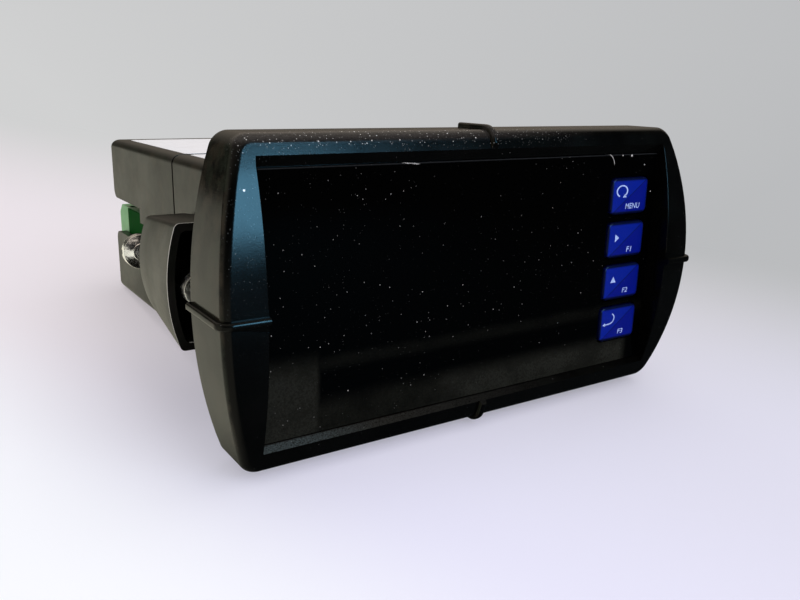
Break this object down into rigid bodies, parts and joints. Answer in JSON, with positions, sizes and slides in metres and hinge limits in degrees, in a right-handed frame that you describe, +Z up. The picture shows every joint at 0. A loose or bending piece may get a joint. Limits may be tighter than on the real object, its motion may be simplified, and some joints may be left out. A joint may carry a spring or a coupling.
{
  "type": "digital panel meter",
  "caption": "Panel-mounted digital meter with a bowed bezel, dark window, function keys, side clamp brackets and plug-in rear terminals.",
  "frame": {"origin": "centre of the panel cut-out, on the plane where the gasket meets the panel", "axes": "+Y into the panel, from the front to the rear of the meter; +X to the right seen from the front; +Z up"},
  "size_m": [0.121, 0.1289, 0.064],
  "materials": {
    "case_black": "matte",
    "gasket_rubber": "matte",
    "window_black": "gloss",
    "key_blue": "satin",
    "switch_black": "matte",
    "board_green": "satin",
    "display_dark": "satin",
    "bracket_black": "matte",
    "screw_chrome": "polished",
    "pad_steel": "satin",
    "connector_cream": "matte",
    "core_steel": "satin",
    "winding_tape": "satin",
    "relay_blue": "satin",
    "capacitor_sleeve": "satin",
    "header_green": "satin",
    "plug_green": "satin",
    "terminal_steel": "satin"
  },
  "bodies": {
    "meter": {"bezel": "case_black", "panel_gasket": "gasket_rubber", "window_lens": "window_black", "key_switches": "switch_black", "display_board": "board_green", "main_display": "display_dark", "lower_display": "display_dark", "front_case": "case_black", "rear_case": "case_black", "main_board": "board_green", "board_connector": "connector_cream", "transformer_core": "core_steel", "transformer_coil": "winding_tape", "relays": "relay_blue", "capacitors": "capacitor_sleeve", "power_header": "header_green", "input_header": "header_green", "output_header": "header_green"},
    "menu_button": {"menu_key": "key_blue"},
    "right_button": {"right_key": "key_blue"},
    "up_button": {"up_key": "key_blue"},
    "enter_button": {"enter_key": "key_blue"},
    "left_mount_bracket": {"left_bracket": "bracket_black"},
    "left_foot": {"left_clamp_pad": "pad_steel"},
    "left_screw": {"left_clamp_screw": "screw_chrome"},
    "right_mount_bracket": {"right_bracket": "bracket_black"},
    "right_foot": {"right_clamp_pad": "pad_steel"},
    "right_screw": {"right_clamp_screw": "screw_chrome"},
    "power_terminal": {"power_plug": "plug_green", "power_screws": "terminal_steel"},
    "input_terminal": {"input_plug": "plug_green", "input_screws": "terminal_steel"},
    "output_terminal": {"output_plug": "plug_green", "output_screws": "terminal_steel"}
  },
  "joints": [
    {"name": "menu_press", "type": "slide", "parent": "meter", "child": "menu_button", "axis": [0, 1, 0], "range_m": [0, 0.0005], "stiffness_N_per_m": 1000},
    {"name": "right_press", "type": "slide", "parent": "meter", "child": "right_button", "axis": [0, 1, 0], "range_m": [0, 0.0005], "stiffness_N_per_m": 1000},
    {"name": "up_press", "type": "slide", "parent": "meter", "child": "up_button", "axis": [0, 1, 0], "range_m": [0, 0.0005], "stiffness_N_per_m": 1000},
    {"name": "enter_press", "type": "slide", "parent": "meter", "child": "enter_button", "axis": [0, 1, 0], "range_m": [0, 0.0005], "stiffness_N_per_m": 1000},
    {"name": "left_bracket_slide", "type": "slide", "parent": "meter", "child": "left_mount_bracket", "axis": [0, 1, 0], "range_m": [0, 0.066]},
    {"name": "left_clamp_feed", "type": "slide", "parent": "left_mount_bracket", "child": "left_foot", "axis": [0, -1, 0], "range_m": [-0.009, 0.0085]},
    {"name": "left_clamp_turn", "type": "hinge", "parent": "left_foot", "child": "left_screw", "pos_m": [-0.054, 0.05, 0], "axis": [0, -1, 0], "range_deg": [-4640, 4390]},
    {"name": "right_bracket_slide", "type": "slide", "parent": "meter", "child": "right_mount_bracket", "axis": [0, 1, 0], "range_m": [0, 0.066]},
    {"name": "right_clamp_feed", "type": "slide", "parent": "right_mount_bracket", "child": "right_foot", "axis": [0, -1, 0], "range_m": [-0.009, 0.0085]},
    {"name": "right_clamp_turn", "type": "hinge", "parent": "right_foot", "child": "right_screw", "pos_m": [0.054, 0.05, 0], "axis": [0, -1, 0], "range_deg": [-4640, 4390]},
    {"name": "power_unplug", "type": "slide", "parent": "meter", "child": "power_terminal", "axis": [0, 1, 0], "range_m": [0, 0.01]},
    {"name": "input_unplug", "type": "slide", "parent": "meter", "child": "input_terminal", "axis": [0, 1, 0], "range_m": [0, 0.01]},
    {"name": "output_unplug", "type": "slide", "parent": "meter", "child": "output_terminal", "axis": [0, 1, 0], "range_m": [0, 0.01]}
  ],
  "couplings": [
    {"joint": "left_clamp_turn", "follows": "left_clamp_feed", "rad_per_m": 8976},
    {"joint": "right_clamp_turn", "follows": "right_clamp_feed", "rad_per_m": 8976}
  ]
}
